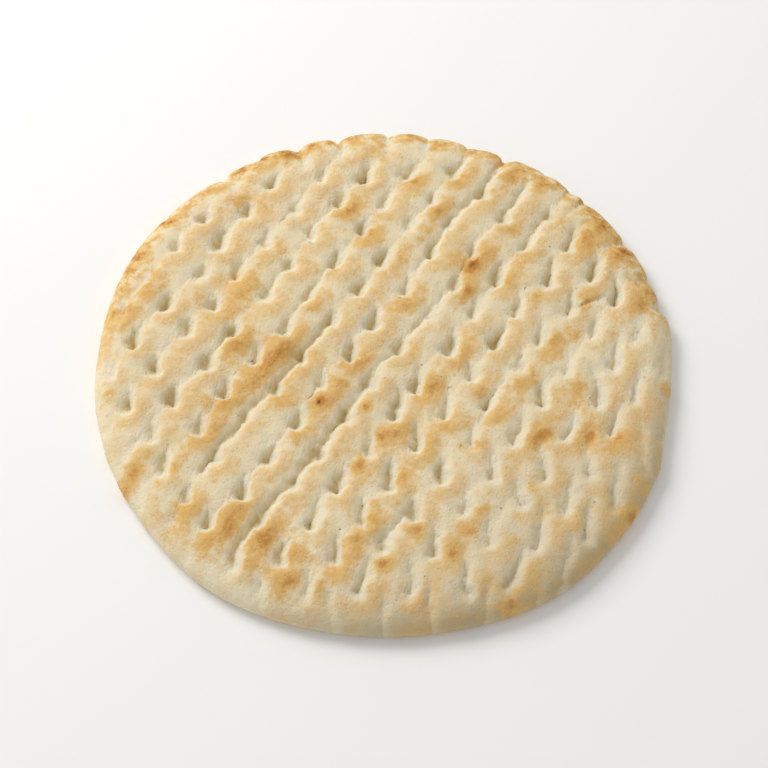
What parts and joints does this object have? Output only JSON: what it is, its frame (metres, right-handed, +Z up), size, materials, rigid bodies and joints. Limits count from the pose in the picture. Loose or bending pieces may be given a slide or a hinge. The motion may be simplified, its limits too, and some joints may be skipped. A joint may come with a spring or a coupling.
{
  "type": "pizza crust",
  "caption": "Thin round pizza crust with a rolled edge, docked in leaning rows so that its top is soft pillows between slits, lightly toasted.",
  "frame": {"origin": "Under the middle of the crust, on the flat underside it rests on.", "axes": "+Z up through the docked top, +X to the right and +Y to the back as the crust lies before you; the rows of slits run from front left to back right."},
  "size_m": [0.2034, 0.2039, 0.0122],
  "materials": {
    "crust": "matte"
  },
  "bodies": {
    "root": {"crust": "crust"}
  },
  "joints": []
}
